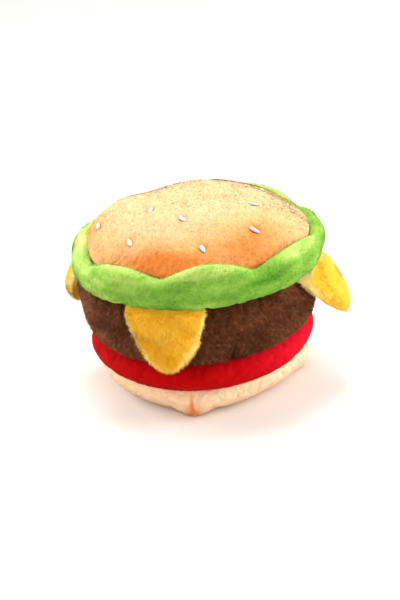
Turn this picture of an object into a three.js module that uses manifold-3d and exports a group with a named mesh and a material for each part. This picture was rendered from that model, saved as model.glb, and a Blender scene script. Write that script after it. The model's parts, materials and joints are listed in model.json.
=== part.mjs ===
// Stuffed hamburger toy: sewn cloth bands, one above the other, round a fibre filling
// with a squeaker. Millimetres, +Z up, origin in the middle of the flat underside.
// Azimuths are counted from -Y (the front) towards +X (the right-hand side).
import * as THREE from 'three';
import { mergeVertices } from 'three/addons/utils/BufferGeometryUtils.js';
import Module from 'manifold-3d';

const wasm = await Module();
wasm.setup();

// ---------------------------------------------------------------- driving dimensions

const cloth = 1.2; // one layer of cloth
const gap = 0.3; // clearance between touching pieces
const allowance = 6; // cloth turned in at a seam
const around = 36; // facets round a plain band

const bunSeam = { r: 54, z: 15.4 }; // bottom bun to tomato
const tomatoSeam = { r: 55.5, z: 31 }; // tomato to patty
const lettuceSeam = { r: 59, z: 61 }; // patty to lettuce, cheese and top bun

const baseRadius = 41; // flat part of the underside
const baseCorner = 3; // how far the four dart corners stand out of the round base
const cornerTurn = THREE.MathUtils.degToRad(8); // azimuth of the first dart corner
const bunBelly = 2.5; // outward bulge of each band
const tomatoBelly = 2.3;
const pattyBelly = 1.5;

const lobes = 7; // scallops along the lettuce rim
const lobeTurn = THREE.MathUtils.degToRad(14.4); // azimuth of the first scallop
const lobeHeight = 4.5; // notch to peak
const flare = { out: 8.4, up: 12 }; // control point of the outer layer's curve, from its seam
const rimUp = 15.8; // rim at a notch above the lettuce seam
const rimIn = 1.4; // and inside that seam

const bunInset = 3.7; // top bun inside the lettuce seam
const bunClearance = 0.7; // between the top bun and the lettuce round it
const crownEdge = 16.8; // rounded edge of the crown above the lettuce seam
const crownRise = 18.2; // top of the crown above that edge
const crownPower = 2.67; // how flat the crown is on top
const pressDepth = 9; // how far the crown can be pressed in

const flapWidth = 39; // cheese corner at its root
const flapLength = 31;
const flapPad = 2.6; // wadding in the middle of a cheese corner
const flapClearance = 0.5; // between a hanging cheese corner and the patty

const seedLength = 6.4;
const seedWidth = 2.2;
const seedHeight = 1.5;

const split = 45; // height where the two parts of the filling meet
const bulbRadius = 19;
const bulbHeight = 22;
const bulbWall = 1.2;
const whistleRadius = 4.5;
const whistleBelow = 8; // whistle under the bulb
const whistleAbove = 5; // whistle inside the bulb
const whistleWall = 0.8;
const reedThickness = 0.4;

// cheese corners: azimuth, and how far each stands away from the patty, degrees
const corners = [
  { name: 'front', azimuth: 0, lift: 0 },
  { name: 'right', azimuth: 90, lift: 32 },
  { name: 'rear', azimuth: 180, lift: 14 },
  { name: 'left', azimuth: 270, lift: 24 },
];

// seeds: azimuth and radius on the crown, and turn of the stitch from the radius, degrees
const seeds = [
  { azimuth: -48, radius: 23, turn: 58 },
  { azimuth: 3, radius: 26, turn: 42 },
  { azimuth: 19, radius: 44, turn: 9 },
  { azimuth: 56, radius: 43, turn: 9 },
  { azimuth: 87, radius: 31, turn: -14 },
  { azimuth: -30, radius: 44, turn: 57 },
  { azimuth: -69, radius: 47.5, turn: 84 },
  { azimuth: 135, radius: 40, turn: 30 },
  { azimuth: 180, radius: 27, turn: -40 },
  { azimuth: -132, radius: 42, turn: 20 },
];

// ---------------------------------------------------------------- sizes that follow

const bunRadius = lettuceSeam.r - bunInset; // top bun where it stands inside the lettuce
const lettuceInner = bunRadius + bunClearance; // face of the lettuce towards the bun
const rim = { r: lettuceSeam.r - rimIn, z: rimUp };

// ---------------------------------------------------------------- colours

const cloths = {
  crust: [0xd99b5c, 0.95],
  leaf: [0x7cc04a, 0.95],
  cheese: [0xf0a63a, 0.95],
  patty: [0x5b3422, 0.97],
  tomato: [0xc3121f, 0.95],
  crumb: [0xf0bd86, 0.95],
  satin: [0xf5ecd9, 0.5],
  thread: [0xe8dcc6, 0.8],
  fibre: [0xf6f6f2, 1.0],
  bulb: [0xe9e6dc, 0.45],
  whistle: [0xf2f2f2, 0.4],
};

// ---------------------------------------------------------------- making closed bodies

// shared corners merged, collapsed triangles dropped, faces turned outwards
function closed(geometry) {
  geometry.deleteAttribute('normal');
  geometry.deleteAttribute('uv');
  const merged = mergeVertices(geometry, 1e-4);
  const at = (i) => new THREE.Vector3().fromBufferAttribute(merged.attributes.position, i);
  const index = merged.index.array;
  const kept = [];
  let volume = 0;
  for (let i = 0; i < index.length; i += 3) {
    const [a, b, c] = [index[i], index[i + 1], index[i + 2]];
    if (a === b || b === c || c === a) continue;
    kept.push(a, b, c);
    volume += at(a).dot(at(b).cross(at(c)));
  }
  merged.setIndex(volume < 0 ? kept.reverse() : kept);
  merged.computeVertexNormals();
  return merged;
}

function toManifold(geometry) {
  const vertProperties = new Float32Array(geometry.attributes.position.array);
  const triVerts = new Uint32Array(geometry.index.array);
  return new wasm.Manifold(new wasm.Mesh({ numProp: 3, vertProperties, triVerts }));
}

function fromManifold(manifold) {
  const { vertProperties, triVerts } = manifold.getMesh();
  const geometry = new THREE.BufferGeometry();
  geometry.setAttribute('position', new THREE.BufferAttribute(vertProperties, 3));
  geometry.setIndex(new THREE.BufferAttribute(triVerts, 1));
  return closed(geometry);
}

// a profile of [radius, height] points turned round Z
function lathe(profile, segments) {
  const points = profile.map(([r, z]) => new THREE.Vector2(r, z));
  const geometry = new THREE.LatheGeometry(points, segments);
  geometry.rotateX(Math.PI / 2);
  return geometry;
}

// moves each corner given as radius, azimuth and height
function warp(geometry, move) {
  const position = geometry.attributes.position;
  for (let i = 0; i < position.count; i += 1) {
    const [x, y, z] = [position.getX(i), position.getY(i), position.getZ(i)];
    const [r, height] = move(Math.hypot(x, y), Math.atan2(x, -y), z);
    const scale = x === 0 && y === 0 ? 0 : r / Math.hypot(x, y);
    position.setXYZ(i, x * scale, y * scale, height);
  }
  return geometry;
}

// ---------------------------------------------------------------- profiles

// points of a quadratic curve from a to b with control point c
function curve(a, c, b, steps) {
  return Array.from({ length: steps + 1 }, (_, i) => {
    const t = i / steps;
    const mix = (k) => (1 - t) ** 2 * a[k] + 2 * t * (1 - t) * c[k] + t ** 2 * b[k];
    return [mix(0), mix(1)];
  });
}

// an outline moved sideways to its left by a distance, with sharp corners
function offset(path, distance) {
  const normal = (p, q) => {
    const length = Math.hypot(q[0] - p[0], q[1] - p[1]);
    return [-(q[1] - p[1]) / length, (q[0] - p[0]) / length];
  };
  return path.map((point, i) => {
    const before = normal(path[Math.max(i - 1, 0)], path[Math.max(i, 1)]);
    const last = path.length - 1;
    const after = normal(path[Math.min(i, last - 1)], path[Math.min(i + 1, last)]);
    const share = distance / (1 + before[0] * after[0] + before[1] * after[1]);
    return [point[0] + (before[0] + after[0]) * share, point[1] + (before[1] + after[1]) * share];
  });
}

// a strip of cloth: the outline and its copy one cloth further in
const sheetOf = (path) => [...path, ...offset(path, cloth).reverse(), path[0]];

// a band's face from one seam to the next, with its belly
function bandFace(low, high, belly, steps) {
  const middle = [(low[0] + high[0]) / 2 + 2 * belly, (low[1] + high[1]) / 2];
  return curve(low, middle, high, steps);
}

// ---------------------------------------------------------------- covers

// each seam's two cloths lie half a gap from the seam's height
const above = (seam) => seam.z + gap / 2;
const below = (seam) => seam.z - gap / 2;

function bandBetween(low, high, belly, steps) {
  const face = bandFace([low.r, above(low)], [high.r, below(high)], belly, steps);
  const path = [[low.r - allowance, above(low)], ...face, [high.r - allowance, below(high)]];
  return sheetOf(path);
}

const dartCorner = (azimuth) => baseCorner * Math.cos(4 * (azimuth - cornerTurn));

function bottomBunSide() {
  const toe = [baseRadius + 1, 0];
  const hip = [bunSeam.r + 2 * bunBelly - 4, below(bunSeam) * 0.3];
  return curve(toe, hip, [bunSeam.r, below(bunSeam)], 5);
}

// the base stands out at its four darts and is round again at its seam
function squareBase(geometry, inset) {
  return warp(geometry, (r, azimuth, z) => {
    const share = Math.min(1, r / (baseRadius - inset)) * Math.max(0, 1 - z / below(bunSeam));
    return [r + dartCorner(azimuth) * share, z];
  });
}

function bottomBun() {
  const path = [[0, 0], ...bottomBunSide(), [bunSeam.r - allowance, below(bunSeam)]];
  const inner = offset(path, cloth);
  inner[0] = [0, cloth];
  return squareBase(lathe([...path, ...inner.reverse()], around), 0);
}

const tomatoBand = () => lathe(bandBetween(bunSeam, tomatoSeam, tomatoBelly, 4), around);
const pattyBand = () => lathe(bandBetween(tomatoSeam, lettuceSeam, pattyBelly, 4), around);

// ---------------------------------------------------------------- lettuce

const lettuceSegments = lobes * 6;
const lobe = (azimuth) => Math.abs(Math.cos((lobes * (azimuth - lobeTurn)) / 2));

// the rim rises to a peak at each scallop, and the foot of the band stays level
function scallop(geometry) {
  geometry.rotateZ(lobeTurn);
  return warp(geometry, (r, azimuth, z) => {
    const share = Math.max(0, (z - lettuceSeam.z - 3) / (innerEdge - lettuceSeam.z - 3));
    return [r, z + lobeHeight * lobe(azimuth) * Math.min(1, share) ** 2];
  });
}

function lettuceOuterPath() {
  const foot = [lettuceSeam.r, above(lettuceSeam)];
  const belly = [lettuceSeam.r + flare.out, lettuceSeam.z + flare.up];
  const edge = [rim.r + gap, lettuceSeam.z + rim.z];
  return curve(foot, belly, edge, 6);
}

function lettuceOuter() {
  const path = [[lettuceSeam.r - allowance, above(lettuceSeam)], ...lettuceOuterPath()];
  return scallop(lathe(sheetOf(path), lettuceSegments));
}

// height of the top of the inner layer's turned-in edge
const innerFlange = above(lettuceSeam) + 2 * cloth + gap;

// and of its top edge, tucked under the rim
const innerEdge = lettuceSeam.z + rim.z - cloth - gap;

function lettuceInnerPath() {
  const middle = (innerEdge + innerFlange) / 2;
  return [innerEdge, middle, innerFlange].map((z) => [lettuceInner, z]);
}

function lettuceInnerLayer() {
  const path = [...lettuceInnerPath(), [lettuceSeam.r - allowance, innerFlange]];
  return scallop(lathe(sheetOf(path), lettuceSegments));
}

// wadding fills the space between the two layers
function lettuceWadding() {
  const outer = offset(lettuceOuterPath(), cloth + gap).slice(1, 6);
  const back = lettuceInner + cloth + gap;
  const foot = [back, innerFlange + gap];
  const head = [back, innerEdge - 1];
  return scallop(lathe([foot, ...outer, head, foot], lettuceSegments));
}

// ---------------------------------------------------------------- top bun

const sideFlange = innerFlange + gap; // underside of the side strip's turned-in edge
const skirt = innerFlange + gap + pressDepth + gap; // bottom of the crown
const crownTop = (r) => {
  const share = (r / (bunRadius + 1.3)) ** crownPower;
  return lettuceSeam.z + crownEdge + crownRise * (1 - share);
};

function crownPath() {
  const shoulder = bunRadius - 2;
  const edge = [bunRadius, crownTop(shoulder) - 4];
  const dome = [3.3, 8.3, 14.3, 21.3, 29.3, 38.3].map((inset) => bunRadius - inset);
  const foot = [[bunRadius - allowance, skirt], [bunRadius, skirt]];
  return [...foot, edge, ...[shoulder, ...dome, 0].map((r) => [r, crownTop(r)])];
}

function crownShell() {
  const path = crownPath();
  const inner = offset(path, cloth);
  inner[inner.length - 1][0] = 0;
  return lathe([...path, ...inner.reverse(), path[0]], around);
}

function topBunSide() {
  const low = [bunRadius, sideFlange];
  const high = [bunRadius, skirt - gap];
  const turned = bunRadius - allowance;
  return lathe(sheetOf([[turned, low[1]], low, high, [turned, high[1]]]), around);
}

// ---------------------------------------------------------------- seeds

function seedBody(grow) {
  const geometry = new THREE.SphereGeometry(1, 10, 6);
  geometry.scale(seedLength / 2 + grow, seedWidth / 2 + grow, seedHeight / 2 + grow);
  return geometry;
}

// places a seed on the crown, flat on the slope and half sunk into it
function ontoCrown(geometry, seed) {
  const r = seed.radius;
  const slope = Math.atan2(crownTop(r - 0.5) - crownTop(r + 0.5), 1);
  const radial = THREE.MathUtils.degToRad(seed.azimuth) - Math.PI / 2;
  geometry.rotateZ(THREE.MathUtils.degToRad(seed.turn));
  geometry.rotateY(slope);
  geometry.translate(r, 0, crownTop(r) - 0.1);
  geometry.rotateZ(radial);
  return geometry;
}

function crownWithDimples() {
  const dimples = seeds.map((seed) => toManifold(closed(ontoCrown(seedBody(gap), seed))));
  const shell = toManifold(closed(crownShell()));
  return fromManifold(dimples.reduce((body, dimple) => body.subtract(dimple), shell));
}

// ---------------------------------------------------------------- cheese corners

// half the width of a cheese corner at a share v of its length
const flapHalf = (v) => (flapWidth / 2) * (1 - 0.97 * v ** 2.2) ** 0.62;

// wadding height at a share u across and v down the corner
function flapPadding(u, v) {
  const across = Math.max(0, 1 - (u / 0.9) ** 2);
  const down = Math.max(0, 4 * (v - 0.06) * (0.97 - v));
  return flapPad * across * down ** 0.6;
}

// a sheet over the corner, from one height over the patty to another, bent round the toy
function flapSheet(inner, outer, margin) {
  const geometry = new THREE.BoxGeometry(2, 1, 1, 6, 6, 1);
  const position = geometry.attributes.position;
  const bend = lettuceSeam.r + flapClearance;
  for (let i = 0; i < position.count; i += 1) {
    const u = position.getX(i) * (1 - margin);
    const v = margin + (0.5 - position.getY(i)) * (1 - 2 * margin);
    const height = position.getZ(i) < 0 ? inner(u, v) : outer(u, v);
    const angle = (u * flapHalf(v)) / bend;
    const r = bend + height;
    position.setXYZ(i, r * Math.sin(angle), -r * Math.cos(angle), -v * flapLength);
  }
  return geometry;
}

const overBack = cloth + gap;
const flapLayers = {
  back: () => flapSheet(() => 0, () => cloth, 0),
  wadding: () => flapSheet(() => overBack, (u, v) => overBack + 0.8 * flapPadding(u, v) + 0.1, 0.17),
  face: () => {
    const under = (u, v) => overBack + flapPadding(u, v) + (flapPadding(u, v) > 0 ? 2 * gap : 0);
    return flapSheet(under, (u, v) => under(u, v) + cloth, 0);
  },
};

// the hinge of a cheese corner runs along the lettuce seam, across the corner's azimuth
const hinge = { r: lettuceSeam.r + flapClearance, z: lettuceSeam.z - 1.2 };

function cheeseCorner(corner) {
  const turn = new THREE.Group();
  turn.rotation.z = THREE.MathUtils.degToRad(corner.azimuth);
  const lift = new THREE.Group();
  lift.position.set(0, -hinge.r, hinge.z);
  lift.rotation.x = -THREE.MathUtils.degToRad(corner.lift);
  turn.add(lift);
  for (const [layer, make] of Object.entries(flapLayers)) {
    const geometry = make();
    geometry.translate(0, hinge.r, 0);
    lift.add(piece(`cheese_${corner.name}_${layer}`, geometry, layer === 'wadding' ? 'fibre' : 'cheese'));
  }
  return turn;
}

// ---------------------------------------------------------------- seam threads

// a ring of thread on the turned-in cloth, three quarters of the way in
function seamThread(r, z) {
  const ring = [[r - 0.5, z], [r + 0.5, z], [r + 0.5, z + 0.6], [r - 0.5, z + 0.6], [r - 0.5, z]];
  return lathe(ring, around);
}

const stitchInset = 3;

// ---------------------------------------------------------------- filling

const aroundFilling = 28; // facets round the filling

// radius of the filling where the patty band goes round it
function insidePatty(z) {
  const t = (z - tomatoSeam.z) / (lettuceSeam.z - tomatoSeam.z);
  const band = tomatoSeam.r + (lettuceSeam.r - tomatoSeam.r) * t + 4 * pattyBelly * t * (1 - t);
  return band - cloth - 3 * gap;
}

function lowerFilling() {
  const face = cloth + 2 * gap;
  const inset = allowance + 3 * gap;
  const side = offset(bottomBunSide(), face).slice(1, 5);
  const profile = [
    [0, cloth + gap],
    [baseRadius - 2, cloth + gap],
    ...side,
    [bunSeam.r - inset, bunSeam.z - face - 1],
    [bunSeam.r - inset, bunSeam.z + face + 1.2],
    [bunSeam.r - face - 1, bunSeam.z + face + 2.2],
    [tomatoSeam.r - face - 1, tomatoSeam.z - face - 2.2],
    [tomatoSeam.r - inset, tomatoSeam.z - face - 1],
    [tomatoSeam.r - inset, tomatoSeam.z + face + 1.2],
    [insidePatty(tomatoSeam.z + face + 2.2), tomatoSeam.z + face + 2.2],
    [insidePatty(split), split - gap],
    [whistleRadius + 3, split - gap],
    [whistleRadius + 3, split - whistleBelow - 2],
    [0, split - whistleBelow - 2],
  ];
  return squareBase(lathe(profile, aroundFilling), cloth);
}

const bulbFloor = split + gap;
const bulbCrown = bulbFloor + bulbHeight;

function upperFilling() {
  const face = cloth + 2 * gap;
  const inset = allowance + 3 * gap;
  const domed = crownPath().slice(3);
  const dome = offset(domed, face).slice(1, -1);
  const waist = bunRadius - allowance - 2 * gap;
  const profile = [
    [0, bulbCrown + 2 * gap],
    [bulbRadius - 6, bulbCrown + 2 * gap],
    [bulbRadius + 2 * gap, bulbCrown - 7],
    [bulbRadius + 2 * gap, split + gap],
    [insidePatty(split), split + gap],
    [insidePatty(lettuceSeam.z - face - 3), lettuceSeam.z - face - 3],
    [lettuceSeam.r - inset, lettuceSeam.z - face - 2],
    [lettuceSeam.r - inset - 1, innerFlange],
    [waist, sideFlange],
    [waist, skirt + face + 1.5],
    ...dome,
    [0, crownTop(0) - face],
  ];
  return lathe(profile, aroundFilling);
}

// ---------------------------------------------------------------- squeaker

const facets = 20; // round the small hard parts

// a drum-shaped bulb, open at the bottom for the whistle
function squeakerBulb() {
  const mouth = whistleRadius + gap;
  const path = [
    [mouth, bulbFloor],
    [bulbRadius - 4, bulbFloor],
    [bulbRadius, bulbFloor + 5],
    [bulbRadius, bulbCrown - 8],
    [bulbRadius - 7, bulbCrown],
    [0, bulbCrown],
  ];
  const inner = offset(path, bulbWall);
  inner[inner.length - 1][0] = 0;
  return lathe([...path, ...inner.reverse(), path[0]], facets);
}

// a tube with a collar that stops under the bulb
function squeakerWhistle() {
  const bore = whistleRadius - whistleWall;
  const [low, high] = [bulbFloor - whistleBelow, bulbFloor + whistleAbove];
  return lathe([
    [bore, low],
    [whistleRadius, low],
    [whistleRadius, bulbFloor - gap - 1.2],
    [whistleRadius + 2, bulbFloor - gap - 1.2],
    [whistleRadius + 2, bulbFloor - gap],
    [whistleRadius, bulbFloor - gap],
    [whistleRadius, high],
    [bore, high],
    [bore, low],
  ], facets);
}

// half a plug inside the tube: its flat carries the reed
function reedSeat() {
  const radius = whistleRadius - whistleWall - gap;
  const outline = new THREE.Shape();
  outline.absarc(0, 0, radius, Math.PI, 2 * Math.PI, false);
  outline.closePath();
  const depth = whistleBelow + whistleAbove - 3;
  const geometry = new THREE.ExtrudeGeometry(outline, { depth, bevelEnabled: false, curveSegments: 8 });
  geometry.translate(0, -0.2, bulbFloor - whistleBelow + 1);
  return geometry;
}

function reed() {
  const radius = whistleRadius - whistleWall - gap;
  const length = whistleBelow + whistleAbove - 4;
  const geometry = new THREE.BoxGeometry(radius * 1.3, reedThickness, length);
  const middle = bulbFloor - whistleBelow + 1.5 + length / 2;
  geometry.translate(0, gap - 0.2 + reedThickness / 2, middle);
  return geometry;
}

// ---------------------------------------------------------------- assembly

function piece(name, geometry, look) {
  const [color, roughness] = cloths[look];
  const material = new THREE.MeshStandardMaterial({ color, roughness, metalness: 0 });
  const mesh = new THREE.Mesh(closed(geometry), material);
  mesh.name = name;
  return mesh;
}

const group = new THREE.Group();

group.add(piece('bottom_bun_cover', bottomBun(), 'crumb'));
group.add(piece('tomato_band', tomatoBand(), 'tomato'));
group.add(piece('patty_band', pattyBand(), 'patty'));
group.add(piece('lettuce_outer', lettuceOuter(), 'leaf'));
group.add(piece('lettuce_inner', lettuceInnerLayer(), 'leaf'));
group.add(piece('lettuce_wadding', lettuceWadding(), 'fibre'));
group.add(piece('top_bun_side', topBunSide(), 'crust'));
group.add(piece('top_bun_crown', crownWithDimples(), 'crust'));
seeds.forEach((seed, i) => {
  const name = `seed_${String(i + 1).padStart(2, '0')}`;
  group.add(piece(name, ontoCrown(seedBody(0), seed), 'satin'));
});
for (const corner of corners) group.add(cheeseCorner(corner));

const stitchTop = cloth + gap * 1.5;
group.add(piece('seam_thread_bun_tomato', seamThread(bunSeam.r - stitchInset, bunSeam.z + stitchTop), 'thread'));
group.add(piece('seam_thread_tomato_patty', seamThread(tomatoSeam.r - stitchInset, tomatoSeam.z + stitchTop), 'thread'));
const underLettuce = lettuceSeam.z - stitchTop - 0.6;
group.add(piece('seam_thread_patty_lettuce', seamThread(lettuceSeam.r - stitchInset, underLettuce), 'thread'));
group.add(piece('seam_thread_crown', seamThread(bunRadius - stitchInset, skirt + cloth + gap), 'thread'));

group.add(piece('fibre_filling_lower', lowerFilling(), 'fibre'));
group.add(piece('fibre_filling_upper', upperFilling(), 'fibre'));
group.add(piece('squeaker_bulb', squeakerBulb(), 'bulb'));
group.add(piece('squeaker_whistle', squeakerWhistle(), 'whistle'));
group.add(piece('squeaker_reed_seat', reedSeat(), 'whistle'));
group.add(piece('squeaker_reed', reed(), 'whistle'));

export default group;
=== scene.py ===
# %% [markdown]
# # A stuffed hamburger toy
# The toy is a stack of sewn cloth bands round a soft filling. Each cover is short-pile plush, so it is
# made twice here: once as the cloth itself, and once as the thousands of little tufts that stand on it.
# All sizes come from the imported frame, and lengths below are in millimetres until a mesh is made.

# %% Load the frame
import json

import bmesh
import bpy
import numpy as np
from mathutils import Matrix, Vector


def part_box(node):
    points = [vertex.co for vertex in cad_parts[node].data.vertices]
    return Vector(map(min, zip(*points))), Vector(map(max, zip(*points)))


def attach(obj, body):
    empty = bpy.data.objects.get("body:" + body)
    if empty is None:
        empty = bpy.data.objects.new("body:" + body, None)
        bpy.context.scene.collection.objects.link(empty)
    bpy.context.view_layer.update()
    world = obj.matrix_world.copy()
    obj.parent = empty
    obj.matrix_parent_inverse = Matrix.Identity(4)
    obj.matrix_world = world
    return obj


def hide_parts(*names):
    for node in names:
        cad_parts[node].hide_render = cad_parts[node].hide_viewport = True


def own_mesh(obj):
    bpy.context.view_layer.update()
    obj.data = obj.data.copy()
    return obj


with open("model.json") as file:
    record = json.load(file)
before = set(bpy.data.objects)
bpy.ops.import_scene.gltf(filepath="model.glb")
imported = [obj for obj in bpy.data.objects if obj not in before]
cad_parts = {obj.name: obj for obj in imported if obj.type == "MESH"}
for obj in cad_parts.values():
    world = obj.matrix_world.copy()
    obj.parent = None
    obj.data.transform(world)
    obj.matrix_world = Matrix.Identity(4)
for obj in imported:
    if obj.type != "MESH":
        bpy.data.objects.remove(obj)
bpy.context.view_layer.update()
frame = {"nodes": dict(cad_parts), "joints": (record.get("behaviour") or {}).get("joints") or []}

# %% [markdown]
# ## Measuring the frame
# A seam lies halfway between the top of one cover and the foot of the next. Its radius is the widest
# point of a cover's edge, so both are read off the frame's own corners instead of being typed again.

# %% Seams, in millimetres
MM = 1000.0
TURN = 2 * np.pi


def mesh_rows(mesh, what):
    """A vector that every corner of a mesh has, such as its place, as rows of three numbers."""
    flat = np.empty(3 * len(mesh.vertices))
    mesh.vertices.foreach_get(what, flat)
    return flat.reshape(-1, 3)


def corners(node):
    """The corners of a frame node as rows of x, y, z in millimetres."""
    return mesh_rows(frame["nodes"][node].data, "co") * MM


def edge_radius(node, top):
    """Largest distance from the Z axis among a node's corners within half a millimetre of its end."""
    points = corners(node)
    end = points[:, 2].max() if top else points[:, 2].min()
    near = points[np.abs(points[:, 2] - end) < 0.5]
    return np.hypot(near[:, 0], near[:, 1]).max()


def seam(lower, upper):
    """Radius and height of the seam between two covers."""
    height = (corners(lower)[:, 2].max() + corners(upper)[:, 2].min()) / 2
    return edge_radius(lower, True), height


BUN_SEAM = seam("bottom_bun_cover", "tomato_band")
TOMATO_SEAM = seam("tomato_band", "patty_band")
LETTUCE_SEAM = seam("patty_band", "lettuce_outer")
SKIRT = corners("top_bun_crown")[:, 2].min()
CROWN_TOP = corners("top_bun_crown")[:, 2].max()
CROWN_RADIUS = edge_radius("top_bun_crown", False)
for label, value in (("bun", BUN_SEAM), ("tomato", TOMATO_SEAM), ("lettuce", LETTUCE_SEAM)):
    print(label, "seam, radius and height:", np.round(value, 2))
print("crown radius", round(CROWN_RADIUS, 2), "from", round(SKIRT, 2), "to", round(CROWN_TOP, 2))

# %% [markdown]
# ## The camera
# The camera comes first. It looks slightly down at the front of the toy from a little to the right of
# the front cheese corner, and it is rolled a few degrees, as a camera held by hand is. A long lens from
# well back keeps the bands' curves calm.

# %% Camera
from mathutils import Matrix, Vector


def place_camera(azimuth, elevation, roll, distance, aim, lens):
    """Puts the camera at aim + distance * back, turned by roll about that line, all in metres."""
    a, e, t = np.radians([azimuth, elevation, roll])
    back = np.array([np.sin(a) * np.cos(e), -np.cos(a) * np.cos(e), np.sin(e)])
    right = np.array([np.cos(a), np.sin(a), 0.0])
    up = np.cross(back, right)
    x_axis = np.cos(t) * right - np.sin(t) * up
    y_axis = np.sin(t) * right + np.cos(t) * up
    camera = bpy.data.objects.new("camera", bpy.data.cameras.new("camera"))
    camera.data.lens = lens
    camera.data.clip_start = 0.01
    turn = Matrix([list(row) for row in np.array([x_axis, y_axis, back]).T]).to_4x4()
    camera.matrix_world = Matrix.Translation(Vector(np.array(aim) + distance * back)) @ turn
    bpy.context.scene.collection.objects.link(camera)
    bpy.context.scene.camera = camera


VIEW = 16
place_camera(azimuth=VIEW, elevation=25.2, roll=5.4, distance=0.631, aim=(0, 0, 0.0385), lens=73.4)
print("camera stands at", np.round(bpy.context.scene.camera.matrix_world.translation, 3), "m")

# %% [markdown]
# ## Surfaces on a grid
# A cover is a profile carried round the toy. With one column of points for each azimuth and one row for
# each step along the profile, the whole cover is a numpy array of shape (rows, columns, 3). Noise made
# of a few seeded cosine waves dents it the way loose fibre does.

# %% Points on a grid
COLUMNS = 240
AZIMUTH = (np.arange(COLUMNS) * TURN / COLUMNS)[None, :]
print("one column of points every", 360 / COLUMNS, "degrees")


def turned(radius, azimuth, height):
    """Points at radius and height, azimuth counted from -Y towards +X: (r sin a, -r cos a, z)."""
    radius, azimuth, height = np.broadcast_arrays(radius, azimuth, height)
    return np.stack([radius * np.sin(azimuth), -radius * np.cos(azimuth), height], axis=-1)


def waves(points, seed, size, count=14):
    """Smooth noise in about -1..1: the sum of cosine waves in seeded directions, about size mm long."""
    random = np.random.default_rng(seed)
    direction = random.normal(size=(count, 3))
    direction /= np.linalg.norm(direction, axis=1, keepdims=True)
    rate = TURN / (size * random.uniform(0.7, 1.6, count))
    phase = random.uniform(0, TURN, count)
    values = [np.cos(points @ (d * k) + p) for d, k, p in zip(direction, rate, phase)]
    return np.sum(values, axis=0) / np.sqrt(count)


def bump(azimuth, middle, width):
    """Bell curve round the toy: 1 at the middle azimuth, both in degrees."""
    apart = (azimuth - np.radians(middle) + np.pi) % TURN - np.pi
    return np.exp(-((apart / np.radians(width)) ** 2))


# %% [markdown]
# ## Normals, faces and objects
# Cloth thickness, tufts and dents all need to know which way a surface faces, so the normals are worked
# out from the grid itself. Faces are four-cornered and join each point to its neighbours.

# %% From a grid to a mesh
def grid_normals(grid, loop=False):
    """Unit normals of a grid: the cross product of its steps round and along the profile."""
    round_step = np.roll(grid, -1, axis=1) - np.roll(grid, 1, axis=1)
    if loop:
        along_step = np.roll(grid, -1, axis=0) - np.roll(grid, 1, axis=0)
    else:
        along_step = np.gradient(grid, axis=0)
    normal = np.cross(round_step, along_step)
    length = np.linalg.norm(normal, axis=-1, keepdims=True)
    return normal / np.maximum(length, 1e-9)


def grid_faces(rows, columns, loop=False):
    """Four-cornered faces between neighbouring rows and columns. Columns close up, rows if loop."""
    row = np.arange(rows if loop else rows - 1)[:, None]
    column = np.arange(columns)[None, :]
    next_row, next_column = (row + 1) % rows, (column + 1) % columns
    a, b = row * columns + column, row * columns + next_column
    c, d = next_row * columns + next_column, next_row * columns + column
    return np.stack(np.broadcast_arrays(a, b, c, d), axis=-1).reshape(-1, 4)


def make_object(name, points, faces):
    """A smooth mesh object at the origin, from points in millimetres and rows of corner numbers."""
    mesh = bpy.data.meshes.new(name)
    mesh.from_pydata((np.reshape(points, (-1, 3)) / MM).tolist(), [], [list(f) for f in faces])
    mesh.polygons.foreach_set("use_smooth", np.ones(len(mesh.polygons), dtype=bool))
    piece = bpy.data.objects.new(name, mesh)
    bpy.context.scene.collection.objects.link(piece)
    return piece


print("a ring of 2 rows has", len(grid_faces(2, COLUMNS)), "faces")

# %% [markdown]
# ## From a face to a cover
# Cloth has two sides. A cover's outside is copied a cloth's thickness further in and joined to it row to
# row, so that the cover is one closed body. A pillow or a lump closes at both ends at a single corner.

# %% Closed covers
CLOTH = 1.0
print("cloth, without its pile:", CLOTH, "mm")


def sheet_cover(name, face, thickness=CLOTH):
    """A closed cover: the face's rows, then the same rows moved in by the thickness, backwards."""
    back = face - grid_normals(face) * thickness
    loop = np.concatenate([face, back[::-1]])
    return make_object(name, loop, grid_faces(len(loop), loop.shape[1], True))


def capped(name, grid):
    """A closed body: the first and last rows are each joined, fanwise, to a corner at their middle."""
    rows, columns = grid.shape[:2]
    ends = [grid[0].mean(axis=0), grid[-1].mean(axis=0)]
    points = np.concatenate([grid.reshape(-1, 3), ends])
    here = np.arange(columns)
    after = (here + 1) % columns
    last_row = (rows - 1) * columns
    first_fan = np.stack([np.full(columns, rows * columns), after, here], axis=1)
    last_fan = np.stack([np.full(columns, rows * columns + 1), last_row + here, last_row + after], axis=1)
    fans = np.stack([first_fan, last_fan], axis=1).reshape(-1, 3).tolist()
    return make_object(name, points, grid_faces(rows, columns).tolist() + fans)


# %% [markdown]
# ## Narrow lines need finer cloth
# A dart or a closing seam is a line less than a millimetre wide, finer than the grid that is stuffed.
# So the stuffed grid gets new columns between the old ones before such a line is pressed into it.

# %% Finer columns
def finer(grid):
    """Doubles the columns: each new one is (9 (b + c) - (a + d)) / 16 of the four round it."""
    before, after = np.roll(grid, 1, axis=1), np.roll(grid, -1, axis=1)
    between = (9 * (grid + after) - (before + np.roll(grid, -2, axis=1))) / 16
    return np.stack([grid, between], axis=2).reshape(len(grid), -1, 3)


def pressed_in(grid, depth):
    """Moves points towards the Z axis by depth, a function of azimuth and height."""
    azimuth = np.arctan2(grid[..., 0], -grid[..., 1])
    radius = np.hypot(grid[..., 0], grid[..., 1])
    share = 1 - depth(azimuth, grid[..., 2]) / np.maximum(radius, 1)
    return grid * np.stack([share, share, np.ones_like(share)], axis=-1)


print("finer grids have", 2 * COLUMNS, "columns")

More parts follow.
